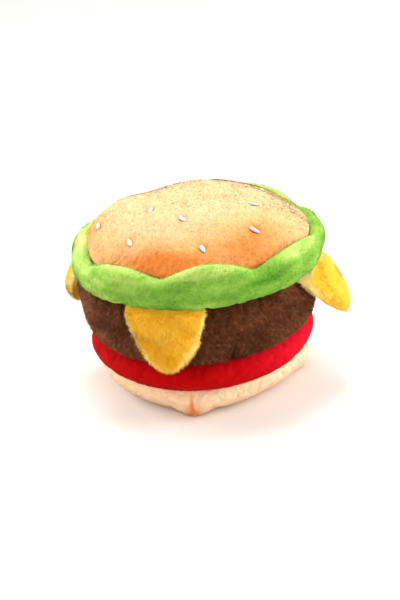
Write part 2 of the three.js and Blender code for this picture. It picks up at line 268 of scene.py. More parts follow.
# %% [markdown]
# ## Stuffing by cloth simulation
# Real covers get their look from being filled: the cloth is a little larger than the space between two
# seams, so it swells out and buckles into puckers beside the thread. Blender's cloth does exactly that.
# Each face is simulated ten times larger than life, where the solver behaves well, with its seams
# pinned, a pressure inside and a negative shrink that makes the cloth too big for its frame.

# %% Cloth simulation
SIM_SCALE = 10.0
SIM_FRAMES = 18
STIFFNESS = 0.08
print("stuffing by simulation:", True)


def pin_points(piece, pinned):
    """A vertex group with full weight on the pinned corners."""
    group = piece.vertex_groups.new(name="pinned")
    group.add(np.flatnonzero(pinned.ravel()).tolist(), 1.0, "REPLACE")


def settle_cloth(piece, pressure, spare):
    """Adds cloth to the piece, steps the frames and returns where its corners settle."""
    cloth = piece.modifiers.new("cloth", "CLOTH")
    settings = cloth.settings
    settings.mass = 0.1
    settings.air_damping = 2.0
    settings.quality = 5
    settings.bending_stiffness = STIFFNESS
    settings.use_pressure = True
    settings.uniform_pressure_force = pressure
    settings.effector_weights.gravity = 0.0
    settings.vertex_group_mass = "pinned"
    settings.shrink_min = settings.shrink_max = -spare
    cloth.point_cache.frame_start = 1
    cloth.point_cache.frame_end = SIM_FRAMES
    for frame_number in range(1, SIM_FRAMES + 1):
        bpy.context.scene.frame_set(frame_number)
    return mesh_rows(piece.evaluated_get(bpy.context.evaluated_depsgraph_get()).data, "co")


def stuff(label, grid, pinned, pressure, spare, cap, loop=False):
    """The grid after stuffing: each point moves as the cloth does, but never further than cap mm."""
    piece = make_object("stuffing", grid * SIM_SCALE, grid_faces(*grid.shape[:2], loop))
    pin_points(piece, np.broadcast_to(pinned, grid.shape[:2]))
    moved = settle_cloth(piece, pressure, spare).reshape(grid.shape) * MM / SIM_SCALE - grid
    bpy.data.objects.remove(piece)
    bpy.context.scene.frame_set(1)
    far = np.linalg.norm(moved, axis=-1, keepdims=True)
    print(label, "swelled by up to", round(float(far.max()), 2), "mm, mean", round(float(far.mean()), 2))
    return grid + moved * np.tanh(far / cap) * cap / np.maximum(far, 1e-9)


def ends_pinned(rows, count):
    """True for the first and last count rows."""
    row = np.arange(rows)
    return ((row < count) | (row >= rows - count))[:, None]


# %% [markdown]
# ## A hand-made stack
# The stack of bands is not quite straight. Seams rise and fall a millimetre round the toy, and the top
# leans a little to one side, more the higher it is.
#
# SLOPES holds, for each seam, how far its right side, its front and all of it stand above the frame's.

# %% Lean and level
LEAN = np.array([np.cos(np.radians(VIEW)), np.sin(np.radians(VIEW)), 0.0])
LEAN_FROM, LEAN_OVER, LEAN_MOST = 56.0, 26.0, 2.6
SLOPES = {"bun": (0.2, -1.5, 0.5), "tomato": (0.2, -2.0, 1.0), "lettuce": (-0.8, 0.0, 0.0)}
print("the top leans", LEAN_MOST, "mm to one side")


def leaned(points):
    """Points shifted sideways by LEAN_MOST * t * t * (3 - 2 t), t being 0..1 up the leaning part."""
    t = np.clip((points[..., 2:] - LEAN_FROM) / LEAN_OVER, 0, 1)
    return points + LEAN_MOST * t * t * (3 - 2 * t) * LEAN


def seam_level(which, height):
    """A hand-sewn seam is not quite level: its height plus one slow wave round the toy."""
    side, front, lift = SLOPES[which]
    a = AZIMUTH - np.radians(VIEW)
    return height + lift + side * np.sin(a) + front * np.cos(a)


# %% [markdown]
# ## Seams and bands
# Thread pulls a seam in and the cloth on both sides rises from it. The groove is a narrow bell curve
# taken off the radius. A band is straight between its seams, plus a belly, less the grooves; the
# stuffing then adds the rest.

# %% Seam grooves and bands
GROOVE, GROOVE_WIDTH, ALLOWANCE = 2.4, 1.2, 5.0
SEAM_GAP = 0.15
print("a seam is", GROOVE, "mm deep and takes", ALLOWANCE, "mm of cloth")


def groove(distance):
    """How far thread pulls the cloth in at a distance in mm from the seam."""
    return GROOVE * np.exp(-((distance / GROOVE_WIDTH) ** 2))


def turned_in(radius, steps=4):
    """Radii of the cloth turned in at a seam, from its raw edge out to the seam."""
    return radius - ALLOWANCE * np.linspace(1, 0.12, steps)[:, None]


def band_face(low, high, slopes, belly, rows, seed):
    """Radius and height of a band from seam to seam, rows set closer near the seams."""
    t = (1 - np.cos(np.linspace(0, np.pi, rows)))[:, None] / 2
    z_low = seam_level(slopes[0], low[1]) + SEAM_GAP
    z_high = seam_level(slopes[1], high[1]) - SEAM_GAP
    height = z_low + (z_high - z_low) * t
    span = np.hypot(z_high - z_low, high[0] - low[0])
    radius = low[0] + (high[0] - low[0]) * t + belly * (4 * t * (1 - t)) ** 0.7
    radius = radius - groove(span * t) - groove(span * (1 - t))
    lumps = 0.6 * waves(turned(radius, AZIMUTH, height), seed, 36) * (4 * t * (1 - t)) ** 0.5
    return radius + lumps, height


def band_cover(label, low, high, slopes, belly, rows, seed):
    """The stuffed face of a band between its turned-in edges, and the rows that show."""
    radius, height = band_face(low, high, slopes, belly, rows, seed)
    face = turned(radius, AZIMUTH, height)
    face = stuff(label, face, ends_pinned(rows, 2), pressure=6, spare=0.035, cap=2.2)
    below = turned(turned_in(radius[:1]), AZIMUTH, height[:1])
    above = turned(turned_in(radius[-1:])[::-1], AZIMUTH, height[-1:])
    return leaned(np.concatenate([below, face, above])), slice(len(below), len(below) + rows)


# %% [markdown]
# ## Patty and tomato
# Both are plain strips sewn into rings. The patty's own closing seam shows as a short dark slit where
# it runs into the seam below it.

# %% Patty and tomato
SLIT_AZIMUTH, SLIT_DEPTH = 30, 1.6


def patty_slit(azimuth, height):
    """A narrow groove up the closing seam, deepest at its foot and gone a third of the way up."""
    rise = (height - TOMATO_SEAM[1]) / (LETTUCE_SEAM[1] - TOMATO_SEAM[1])
    return SLIT_DEPTH * bump(azimuth, SLIT_AZIMUTH, 0.8) * np.clip(1.1 - rise * 3.2, 0.06, 1)


patty_grid, patty_rows = band_cover(
    "patty", TOMATO_SEAM, LETTUCE_SEAM, ("tomato", "lettuce"), belly=0.6, rows=40, seed=11)
patty_grid = pressed_in(finer(patty_grid), patty_slit)
tomato_grid, tomato_rows = band_cover(
    "tomato", BUN_SEAM, TOMATO_SEAM, ("bun", "tomato"), belly=1.2, rows=26, seed=21)
patty = sheet_cover("patty_plush_band", patty_grid)
tomato = sheet_cover("tomato_plush_band", tomato_grid)
print("patty and tomato grids:", patty_grid.shape[:2], tomato_grid.shape[:2])

# %% [markdown]
# ## The bottom bun
# The bottom bun is a flat piece of cloth folded up into a pouch. Four darts take up the spare cloth at
# its corners, so its foot is a rounded square while its rim is round. A dart is a short slit of seam.

# %% The foot's outline
DART_TURN = 6.5
FOOT_SHARES = np.array([0.0004, 0.12, 0.25, 0.4, 0.55, 0.7, 0.82, 0.91, 0.965])[:, None]
foot = corners("bottom_bun_cover")
FOOT_RADIUS = np.hypot(foot[:, 0], foot[:, 1])[foot[:, 2] < 0.05].max()
print("foot radius at a dart corner", round(FOOT_RADIUS, 2))


def squareness(power=1.36):
    """1 at a dart corner and less between: the rounded diamond |cos|^p + |sin|^p = 1."""
    a = AZIMUTH - np.radians(DART_TURN)
    return (np.abs(np.cos(a)) ** power + np.abs(np.sin(a)) ** power) ** (-1 / power)


def corner_point(width=11):
    """Bell curves of the given width in degrees at the four dart corners, where cloth stands out."""
    return sum(bump(AZIMUTH, DART_TURN + quarter, width) for quarter in (0, 90, 180, 270))


def from_dart(azimuth):
    """Distance round the toy in mm from the nearest of the four darts."""
    quarter = (azimuth - np.radians(DART_TURN) + np.pi / 4) % (np.pi / 2) - np.pi / 4
    return quarter * BUN_SEAM[0]


def dart(azimuth, height):
    """Depth of the four darts: a sharp line with a shallow fold either side, fading upwards."""
    away = from_dart(azimuth)
    fade = np.clip(height / 1.5, 0, 1) * np.clip((BUN_SEAM[1] - 1 - height) / 4, 0, 1)
    return (1.5 * np.exp(-((away / 0.8) ** 2)) + 0.7 * np.exp(-((away / 3.2) ** 2))) * fade


# %% [markdown]
# ## The bottom bun's side
# The side rises from the toe to the seam as a quadratic curve with its middle point, the hip, pushed
# out. The flat foot is the same outline shrunk towards the middle in nine rings.

# %% Bottom bun
def bottom_bun_side(rows=36):
    """Radius and height at every azimuth: (1-t)^2 toe + 2t(1-t) hip + t^2 seam, less the grooves."""
    t = np.linspace(0, 1, rows)[:, None]
    toe = (FOOT_RADIUS + 2.4) * (0.12 + 0.88 * squareness()) + 4.6 * corner_point()
    top = seam_level("bun", BUN_SEAM[1]) - SEAM_GAP
    hip = (toe + BUN_SEAM[0]) / 2 + 2.9
    radius = (1 - t) ** 2 * toe + 2 * t * (1 - t) * hip + t**2 * BUN_SEAM[0]
    height = 2 * t * (1 - t) * 0.4 * top + t**2 * top
    radius = radius - 1.0 * np.exp(-t * 14) - groove(top - height)
    lump = waves(turned(radius, AZIMUTH, height), 33, 30)
    return radius + 0.6 * lump * np.sin(np.pi * t) ** 0.5, height


def bottom_bun_grid():
    """Flat foot from the middle out, the stuffed side, and the cloth turned in at the seam."""
    radius, height = bottom_bun_side()
    side = turned(radius, AZIMUTH, height)
    side = stuff("bottom bun", side, ends_pinned(len(side), 2), pressure=5, spare=0.03, cap=1.6)
    side[..., 2] = np.maximum(side[..., 2], 0)
    flat = turned(radius[:1] * FOOT_SHARES, AZIMUTH, 0.0)
    rim = turned(turned_in(radius[-1:])[::-1], AZIMUTH, height[-1:])
    return np.concatenate([flat, side, rim]), slice(5, len(flat) + len(side))


def pouch(name, grid, thickness=CLOTH):
    """A closed cup: the outside from its middle up, then the inside back down to its middle."""
    inside = grid - grid_normals(grid) * thickness
    flat = len(FOOT_SHARES)
    inside[:flat] = grid[:flat] * [0.98, 0.98, 1] + [0, 0, thickness]
    return capped(name, np.concatenate([grid, inside[::-1]]))


bottom_grid, bottom_rows = bottom_bun_grid()
bottom_grid = pressed_in(finer(bottom_grid), dart)
bottom = pouch("bottom_bun_plush_pouch", bottom_grid)
print("bottom bun grid:", bottom_grid.shape[:2])

# %% [markdown]
# ## The crown
# The crown is one domed panel. It is flattest in the middle and turns down sharply at its edge, the
# filling leaves broad lumps in it, and each embroidered seed pulls a small dimple.

# %% The dome and its lumps
SEEDS = sorted(name for name in frame["nodes"] if name.startswith("seed_"))
SEED_PLACES = np.array([np.add(*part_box(name)) * MM / 2 for name in SEEDS]) - 1.6 * LEAN
CROWN_RISE, CROWN_POWER, CROWN_SPREAD = 18.2, 2.67, CROWN_RADIUS + 1.3
SHOULDER, SHOULDER_ROUND = CROWN_RADIUS - 0.6, 2.0
print("seeds in the frame:", len(SEEDS), "and the dome rises", CROWN_RISE, "mm")


def crown_height(radius):
    """Height of the dome: top - rise * (r / spread) ^ power."""
    return CROWN_TOP - CROWN_RISE * (radius / CROWN_SPREAD) ** CROWN_POWER


def dimples(points, depth, width):
    """Sum of bell-shaped dents at the seeds."""
    away = np.linalg.norm(points[..., None, :2] - SEED_PLACES[:, :2], axis=-1)
    return depth * np.exp(-((away / width) ** 2)).sum(axis=-1)


def crown_lumps(points):
    """Broad soft lumps of filling: a high shoulder on the left, and low ones behind it and on the right."""
    a = np.arctan2(points[..., 0], -points[..., 1])
    out = np.hypot(points[..., 0], points[..., 1]) / CROWN_RADIUS
    ring = np.clip(out * 1.4, 0, 1) ** 2
    shaped = ring * (3.2 * bump(a, -84, 18) - 4.4 * bump(a, -140, 28) - 3.6 * bump(a, 116, 30))
    return shaped + 0.8 * waves(points, 41, 44) + 0.3 * waves(points, 42, 17)


# %% [markdown]
# ## The crown's cloth
# The panel is laid out as a wall, a rounded shoulder and the dome, all as rows of one grid, so that the
# cloth simulation can stuff it in one go with only its foot held by the seam.

# %% Crown
def crown_face():
    """Wall, shoulder (cos, sin of a quarter turn) and dome up to a small ring round the middle."""
    dome = np.linspace(SHOULDER, 1.5, 60)[:, None]
    bend = np.linspace(0, np.pi / 2, 8)[:-1, None]
    drop = crown_height(SHOULDER) - SHOULDER_ROUND
    wall = np.linspace(SKIRT + 2 * SEAM_GAP, drop, 5)[:-1, None]
    radius = np.concatenate([np.full_like(wall, SHOULDER + 1), SHOULDER + np.cos(bend), dome])
    height = np.concatenate([wall, drop + SHOULDER_ROUND * np.sin(bend), crown_height(dome)])
    points = turned(radius, AZIMUTH, height)
    soft = np.clip((points[..., 2] - SKIRT - 2) / 7, 0, 1)
    points[..., 2] += soft * crown_lumps(points)
    return points


def crown_grid():
    """The stuffed face with its dimples, the middle closed, and the cloth turned in at its foot."""
    face = crown_face()
    face = stuff("crown", face, ends_pinned(len(face), 5), pressure=5, spare=0.012, cap=1.2)
    face[..., 2] -= dimples(face, depth=1.5, width=2.5)
    middle = face[-1].mean(axis=0)
    close = middle + (face[-1] - middle) * np.array([0.6, 0.25, 0.01])[:, None, None]
    edge = turned(turned_in(SHOULDER + 1 + 0 * AZIMUTH), AZIMUTH, SKIRT + SEAM_GAP)
    return leaned(np.concatenate([edge, face, close])), slice(8, 4 + len(face) + 3)


crown_points, crown_rows = crown_grid()
crown = sheet_cover("top_bun_plush_crown", crown_points)
print("crown stands", round(float(crown_points[..., 2].max()), 1), "mm high")

# %% [markdown]
# ## The lettuce
# The lettuce is a padded double band that stands round the bun. Its section is a closed curve through a
# few points: sewn foot, belly, rounded rim and the straight inner side. The rim waves up and down in
# seven scallops with softly pointed notches, and leans over the bun between them.

# %% The lettuce's rim
NOTCHES = ((-52, 74.0), (-4, 77.2), (41, 77.0), (92, 76.0), (135, 75.5), (188, 77.5), (243, 76.0))
PEAKS = (81.2, 83.8, 81.8, 77.8, 82.5, 81.0, 80.2)
print("scallops:", len(PEAKS), "from", min(n[1] for n in NOTCHES), "to", max(PEAKS), "mm up")


def rim_height():
    """Height of the rim: straight from notch to notch, plus an arch of |sin| between them."""
    first = NOTCHES[0][0]
    a = (np.degrees(AZIMUTH[0]) - first) % 360 + first
    places = np.array([notch[0] for notch in NOTCHES] + [first + 360])
    levels = np.array([notch[1] for notch in NOTCHES] + [NOTCHES[0][1]])
    part = np.searchsorted(places, a, side="right") - 1
    part = np.clip(part, 0, len(PEAKS) - 1)
    t = (a - places[part]) / (places[part + 1] - places[part])
    middle = (levels[part] + levels[part + 1]) / 2
    arch = np.sqrt(np.sin(np.pi * t) ** 2 + 0.003) - 0.055
    return np.interp(a, places, levels) + (np.array(PEAKS)[part] - middle) * arch


def closed_curve(points, steps):
    """A smooth closed curve through the given points (Catmull-Rom), steps points between each two."""
    t = np.linspace(0, 1, steps, endpoint=False)[:, None, None]
    pieces = []
    for i in range(len(points)):
        a, b, c, d = (points[(i + k) % len(points)] for k in (-1, 0, 1, 2))
        cubic = 2 * a - 5 * b + 4 * c - d
        pieces.append((2 * b + (c - a) * t + cubic * t**2 + (3 * b - a - 3 * c + d) * t**3) / 2)
    return np.concatenate(pieces)


# %% [markdown]
# ## The lettuce's section
# The section's upper points rise and fall with the rim, and its foot stays at the seam. The foot and the
# inner side are held while the rest is stuffed, because they are sewn down or pressed against the bun.

# %% Lettuce section
RIM_LEVEL = 18.1


def lettuce_section():
    """Radius and height above the seam of the section's points, foot first, at every azimuth."""
    rim = rim_height() - LETTUCE_SEAM[1] - RIM_LEVEL
    lean = 1.2 * bump(AZIMUTH[0], 160, 26) - 0.8 * bump(AZIMUTH[0], 15, 30) - 0.22 * rim
    inner = CROWN_RADIUS + 0.5
    still = 0 * rim
    return [
        (LETTUCE_SEAM[0] - 2.2 + still, 0.3 + still),
        (LETTUCE_SEAM[0] + 1.0 + still, 1.2 + still),
        (61.9 + still, 5.0 + still),
        (62.6 + 0.2 * lean, 9.8 + 0.15 * rim),
        (61.8 + 0.6 * lean, 14.0 + 0.55 * rim),
        (59.9 + lean, 17.2 + rim),
        (57.4 + lean, RIM_LEVEL + rim),
        (inner - 0.5 + 0.8 * lean, 16.0 + 0.95 * rim),
        (inner + 0.3 * lean, 11.5 + 0.4 * rim),
        (inner + still, 6.0 + still),
        (inner + 0.4 + still, 2.0 + still),
    ]


def lettuce_grid(steps=8):
    """The closed section at every azimuth, lumped and stuffed, rows from the foot up outside."""
    curve = closed_curve(np.array(lettuce_section()), steps)
    radius, height = curve[:, 0], curve[:, 1] + LETTUCE_SEAM[1]
    points = turned(radius, AZIMUTH, height)
    outer = np.clip((radius - CROWN_RADIUS - 1.5) / 4, 0, 1) * np.clip(curve[:, 1] / 4, 0, 1)
    points = turned(radius + outer * 0.7 * waves(points, 51, 26), AZIMUTH, height)
    row = np.arange(len(points))[:, None]
    held = (row < 3) | (row > 7 * steps)
    return leaned(stuff("lettuce", points, held, pressure=5, spare=0.035, cap=1.3, loop=True))


lettuce_points = lettuce_grid()
lettuce = make_object(
    "lettuce_plush_band", lettuce_points, grid_faces(*lettuce_points.shape[:2], True))
print("lettuce grid:", lettuce_points.shape[:2])

# %% [markdown]
# ## The cheese corners
# Each corner is a small pillow: two rounded triangles of cloth sewn edge to edge with a little wadding,
# caught in the lettuce seam by its straight side. A flattened tube that closes at the tip gives that
# shape. It is stuffed flat, bent round the toy, then swung out about its hinge as far as it hangs.
#
# HANG holds each corner's azimuth, its lift, its curl, all in degrees, and its share of the full length.

# %% Cheese corner
FLAP_LENGTH, FLAP_HALF, FLAP_THICK, FLAP_ROOT = 31.8, 20.6, 1.9, 3.0
FLAP_DIP = np.array([-3.0, 11.0])
print("a cheese corner is", FLAP_LENGTH, "mm long and", 2 * FLAP_HALF, "mm wide")
HANG = {
    "front": (-1, 0, 4, 1.0),
    "right": (88, 42, -20, 0.97),
    "rear": (180, 14, -12, 1.0),
    "left": (270, 32, -55, 0.8),
}


def flap_pillow(rows=46, columns=72):
    """Flat pillow: across = half width * cos a, height = thickness * sin a, rows from root to tip."""
    v = (1 - (1 - np.linspace(0, 0.996, rows)) ** 1.7)[:, None]
    half = FLAP_HALF * (1 - v**2.2) ** 0.62 * (1 - 0.06 * (1 - v) ** 2)
    a = np.arange(columns)[None, :] * TURN / columns
    puff = 0.3 + 0.7 * np.sin(np.pi * np.clip(v * 1.15, 0, 1)) ** 0.6
    thick = FLAP_THICK * puff * np.minimum(1, half / 6)
    height = thick * np.sign(np.sin(a)) * np.abs(np.sin(a)) ** 1.1
    along = v * (FLAP_LENGTH + FLAP_ROOT) - FLAP_ROOT
    grid = np.stack(np.broadcast_arrays(half * np.cos(a), height, along), axis=-1)
    root = np.arange(rows)[:, None] < 2
    return stuff("cheese corner", grid, root, pressure=5, spare=0.03, cap=2.0)


def dent(pillow, depth=1.7, width=6.5):
    """A thumb-sized hollow in the outer side, off to one side of the middle."""
    away = np.linalg.norm(pillow[..., [0, 2]] - FLAP_DIP, axis=-1)
    dented = pillow.copy()
    dented[..., 1] -= depth * np.exp(-((away / width) ** 2)) * (pillow[..., 1] > 0)
    return dented


# %% [markdown]
# ## Hanging the cheese
# The pillow's length is bent into an arc, its width is wrapped round the toy, and then both are turned
# about the hinge that the frame gives for that corner, so that it swings where the frame's joint is.

# %% Hung corners
def hinge_of(name):
    """A cheese corner's hinge from the frame's joints: distance from the Z axis and height, in mm."""
    joint = next(j for j in frame["joints"] if j["name"] == f"cheese_{name}_lift")
    x, y, z = np.array(joint["pos_m"]) * MM
    return np.hypot(x, y), z


def hang_flap(pillow, name):
    """Arc (R sin, R (1 - cos)) along the pillow, circle round the toy, then a turn by the lift."""
    azimuth, lift, curl, share = HANG[name]
    hinge_r, hinge_z = hinge_of(name)
    across, height, along = np.moveaxis(pillow * [1, 1, share], -1, 0)
    turn = np.radians(curl) * along / FLAP_LENGTH
    lengthwise = FLAP_LENGTH / max(abs(np.radians(curl)), 1e-3) * np.sign(curl)
    down = -(lengthwise * np.sin(turn)) + height * np.sin(turn)
    out = 1.7 + lengthwise * (1 - np.cos(turn)) + height * np.cos(turn)
    out = out - 0.7 * np.clip(-along, 0, None)
    angle = across / hinge_r
    side = (hinge_r + out) * np.sin(angle)
    depth = (hinge_r + out) * np.cos(angle) - hinge_r
    swing = np.radians(lift)
    far = hinge_r + depth * np.cos(swing) - down * np.sin(swing)
    drop = depth * np.sin(swing) + down * np.cos(swing)
    a = np.radians(azimuth)
    x, y = side * np.cos(a) + far * np.sin(a), side * np.sin(a) - far * np.cos(a)
    return np.stack([x, y, hinge_z + 0.5 + drop], axis=-1)


pillow = dent(flap_pillow())
flap_grids = {name: hang_flap(pillow, name) for name in HANG}
flaps = {name: capped(f"cheese_{name}_plush_cover", grid) for name, grid in flap_grids.items()}
for name, grid in flap_grids.items():
    print(name, "cheese corner reaches down to", round(float(grid[..., 2].min()), 1), "mm")

# %% [markdown]
# ## Plush pile
# Short-pile plush is a cloth with thousands of fine tufts, all leaning the same way in one patch and
# another way in the next, which is what makes its soft pale and dark patches. Each tuft here is a thin
# closed spike of four triangles. Its colours come from a UV map: u is how pale the tuft is and v runs
# from its root to its tip, so one small palette paints every tuft.

# %% Scattering tufts
def joined_round(values):
    """A grid with its first column repeated at its end."""
    return np.concatenate([values, values[:, :1]], axis=1)


def inside_cell(values, cell, s, t):
    """Values inside grid cells, mixed from their four corners by s across and t along."""
    i, j = cell
    low = values[i, j] * (1 - s) + values[i, j + 1] * s
    high = values[i + 1, j] * (1 - s) + values[i + 1, j + 1] * s
    return low * (1 - t) + high * t


def scatter(grid, rows, loop, density, seed):
    """Random places on a grid, evenly by area: positions and normals, both (count, 3)."""
    normals = grid_normals(grid, loop)
    if rows is not None:
        grid, normals = grid[rows], normals[rows]
    if loop and rows is None:
        grid = np.concatenate([grid, grid[:1]])
        normals = np.concatenate([normals, normals[:1]])
    grid, normals = joined_round(grid), joined_round(normals)
    side, up = grid[:-1, 1:] - grid[:-1, :-1], grid[1:, :-1] - grid[:-1, :-1]
    area = np.linalg.norm(np.cross(side, up), axis=-1).ravel()
    random = np.random.default_rng(seed)
    count = int(area.sum() * density)
    number = np.searchsorted(np.cumsum(area), random.uniform(0, area.sum(), count))
    cell = np.unravel_index(np.minimum(number, len(area) - 1), side.shape[:2])
    s, t = random.uniform(size=(2, count, 1))
    normal = inside_cell(normals, cell, s, t)
    return inside_cell(grid, cell, s, t), normal / np.linalg.norm(normal, axis=1, keepdims=True)


# %% [markdown]
# ## The shape of a tuft
# A tuft's root has three corners and its tip has one. It stands along the cloth's normal, leant towards
# the nap, which is the way the cloth was brushed, and tangled a little. Its root is flat across the lean,
# so that light falls on it much as it falls on the cloth.

# %% Tufts
ROOT_DEPTH, ROOT_FLATNESS, TANGLE = 0.25, 0.4, 0.22
SPIKE_FACES = np.array([[0, 1, 3], [1, 2, 3], [2, 0, 3], [0, 2, 1]])
print("faces of a tuft:", len(SPIKE_FACES))


def brushed(places, normals, seed, nap, wander, size=16):
    """Unit vectors in the cloth's plane: the nap direction turned by wander times smooth noise."""
    flat = np.array(nap) - normals * (normals @ np.array(nap))[:, None]
    flat += 0.25 * np.cross(normals, [0.3, 1.0, 0.2])
    flat /= np.linalg.norm(flat, axis=1, keepdims=True)
    angle = (wander * waves(places, seed, size))[:, None]
    return flat * np.cos(angle) + np.cross(normals, flat) * np.sin(angle)


def spikes(places, normals, lie, length, width, lean, seed):
    """Corners (count, 4, 3): root + width * (cos k * across + flatness * sin k * third), and a tip."""
    random = np.random.default_rng(seed)
    count = len(places)
    tangle = random.normal(scale=TANGLE, size=(count, 3))
    direction = normals + lie * lean * random.uniform(0.7, 1.3, (count, 1)) + tangle
    direction /= np.linalg.norm(direction, axis=1, keepdims=True)
    across = np.cross(direction, normals + 0.01)
    across /= np.linalg.norm(across, axis=1, keepdims=True)
    third = np.cross(direction, across)
    reach = length * random.uniform(0.7, 1.2, (count, 1))
    root = places - ROOT_DEPTH * normals
    third = ROOT_FLATNESS * third
    low = [root + width * (np.cos(k) * across + np.sin(k) * third) for k in (0.0, 2.1, 4.2)]
    return np.stack([*low, root + direction * reach], axis=1), direction


# %% [markdown]
# ## One mesh of tufts
# All tufts of a cover go into one mesh, filled from arrays. Their normals are bent towards the cloth's
# own, because a real pile is so fine that it takes light as one soft surface with a little grain.

# %% Tuft meshes
def spike_uv(tone):
    """UV of each face corner: u is the tone, a hair wider at the root, and v is 0 at the root."""
    u = np.clip(tone, 0.03, 0.97)[:, None, None] + np.array([[-0.006, 0.006, 0.0]])
    v = np.broadcast_to([0.02, 0.02, 0.98], (len(tone), 4, 3)).copy()
    v[:, 3] = [0.01, 0.01, 0.03]
    return np.stack([np.broadcast_to(u, v.shape), v], axis=-1)


def fur_object(name, tips, tone, shading):
    """A mesh of tufts with the palette UV map and normals that follow the cloth under them."""
    count = len(tips)
    mesh = bpy.data.meshes.new(name)
    mesh.vertices.add(count * 4)
    mesh.loops.add(count * 12)
    mesh.polygons.add(count * 4)
    mesh.vertices.foreach_set("co", (tips / MM).ravel())
    faces = (np.arange(count)[:, None, None] * 4 + SPIKE_FACES).ravel()
    mesh.loops.foreach_set("vertex_index", faces)
    mesh.polygons.foreach_set("loop_start", np.arange(count * 4) * 3)
    mesh.update(calc_edges=True)
    mesh.uv_layers.new(name="OFBake").data.foreach_set("uv", spike_uv(tone).ravel())
    mesh.polygons.foreach_set("use_smooth", np.ones(count * 4, dtype=bool))
    mesh.normals_split_custom_set_from_vertices(np.repeat(shading, 4, axis=0).tolist())
    piece = bpy.data.objects.new(name, mesh)
    bpy.context.scene.collection.objects.link(piece)
    print(name, "tufts:", count)
    return piece


def pile(name, grid, rows, shade, *, seed, density, length, width, lean, loop=False, keep=None,
         nap=(0, 0, -1), wander=0.5, grain=0.3, clump=0.04, upward=0.0):
    """Tufts over a grid. shade gives each place's tone, and keep says where tufts may grow.

    Tone = shade + broad patches + clumps + a little chance. Shading normal = cloth normal + the tuft's
    direction * 1.2 grain + chance * grain + upward.
    """
    places, normals = scatter(grid, rows, loop, density, seed)
    if keep is not None:
        wanted = keep(places, normals)
        places, normals = places[wanted], normals[wanted]
    lie = brushed(places, normals, seed + 1, nap, wander)
    tips, direction = spikes(places, normals, lie, length, width, lean, seed + 2)
    random = np.random.default_rng(seed + 3)
    patch = 0.07 * waves(places, seed + 4, 13) + clump * waves(places, seed + 5, 2.4)
    tone = shade(places, normals) + patch + random.normal(scale=0.08, size=len(places))
    shading = normals + 1.2 * grain * direction + random.normal(scale=grain, size=places.shape)
    shading += [0, 0, upward]
    shading /= np.linalg.norm(shading, axis=1, keepdims=True)
    return fur_object(name, tips, tone, shading)


# %% [markdown]
# ## Where the pile is pale and dark
# The tone of a tuft follows where it grows: the crown is toast-coloured towards its front edge and paler on
# top, with painted shade round its seeds; the lettuce has a painted highlight along its rim; and the cheese
# has painted sheen along its sewn edges. Tones run from 0, deep, to 1, pale.

# %% Tones of the two buns
def azimuth_of(points):
    """Azimuth of points, from -Y towards +X."""
    return np.arctan2(points[:, 0], -points[:, 1])


def from_seed(places):
    """Distance in plan, in mm, from each place to the nearest seed."""
    away = places[:, None, :2] - leaned(SEED_PLACES)[:, :2]
    return np.linalg.norm(away, axis=-1).min(axis=1)


def crown_tone(places, normals):
    """Pale on top, toast-coloured in a broad patch on the right, in front and on the left, with painted
    shade round the seeds.
    """
    out = np.hypot(places[:, 0], places[:, 1]) / CROWN_RADIUS
    a = azimuth_of(places)
    broad = 0.5 * bump(a, 47, 30) * np.clip(out * 3 - 1.5, 0, 1)
    front = 0.68 * (bump(a, -2, 22) + 0.4 * bump(a, -38, 20)) * np.clip(out * 4 - 2.7, 0, 1)
    left = 0.4 * bump(a, -82, 22) * np.clip(out * 4 - 2.9, 0, 1)
    # Painted shade in the dimples round the seeds.
    beside = 0.3 * np.exp(-((from_seed(places) / 2.7) ** 2))
    toast_and_dimple_shade = np.clip(broad + front + left + beside, 0, 0.62)
    return 0.66 - toast_and_dimple_shade - 0.05 * np.clip(out * 3 - 1.6, 0, 1)


def bottom_tone(places, normals):
    """Pale, with painted shade along the darts' creases, and deeper near the foot of each corner."""
    away = from_dart(azimuth_of(places))
    # Painted shade in the dart creases.
    beside = np.exp(-((away / 1.0) ** 2)) * np.clip((BUN_SEAM[1] - places[:, 2]) / 5, 0, 1)
    corner = np.exp(-((away / 5) ** 2)) * np.clip(1.25 - places[:, 2] / 8, 0, 1)
    return 0.5 - 0.3 * beside - 0.5 * corner


print("tone of the crown's middle:", np.round(crown_tone(np.array([[0, 0, CROWN_TOP]]), None), 2))

# %% [markdown]
# ## Tones of the filling's layers
# The patty has painted shade in its closing seam at its foot and painted sheen at its sides, the lettuce
# carries streaks from brushing and painted light and shade, and the tomato is nearly even but for a painted
# highlight on its right.

# %% Tones of the layers
SLIT_RISE = 9


def from_slit(places):
    """Distance round the toy in mm from the patty's closing seam."""
    return (azimuth_of(places) - np.radians(SLIT_AZIMUTH)) * TOMATO_SEAM[0]


def lettuce_tone(places, normals):
    """Deep below the belly, painted shade in two patches, a painted highlight along the rim, painted light
    on the left, and brushed streaks.
    """
    rise = (places[:, 2] - LETTUCE_SEAM[1]) / 19
    a = azimuth_of(places)
    # Painted light on the left side.
    left = 0.18 * bump(a, -66, 42)
    # Painted shade in front and on the right, deepest low down.
    shaded = 0.14 * bump(a, 50, 14) + 0.08 * bump(a, 2, 16) * np.clip(1.4 - 2 * rise, 0, 1)
    streaks = 0.09 * waves(places * [0.3, 0.3, 1.3], 61, 6)
    # The paler rim is a painted highlight.
    return 0.34 + 0.34 * np.clip(rise * 2.8 - 1.95, 0, 1) + left - shaded + streaks


def patty_tone(places, normals):
    """Painted sheen at both sides, and painted shade in the slit at the foot of the closing seam."""
    rise = (places[:, 2] - TOMATO_SEAM[1]) / SLIT_RISE
    # Painted sheen where the sides are seen edge on.
    sides = 0.2 * (bump(azimuth_of(places), -62, 30) + bump(azimuth_of(places), 96, 40))
    # Painted shade in the slit at the foot of the closing seam.
    return 0.4 + sides - 0.4 * np.exp(-((from_slit(places) / 1.1) ** 2)) * np.clip(1.2 - rise, 0, 1)


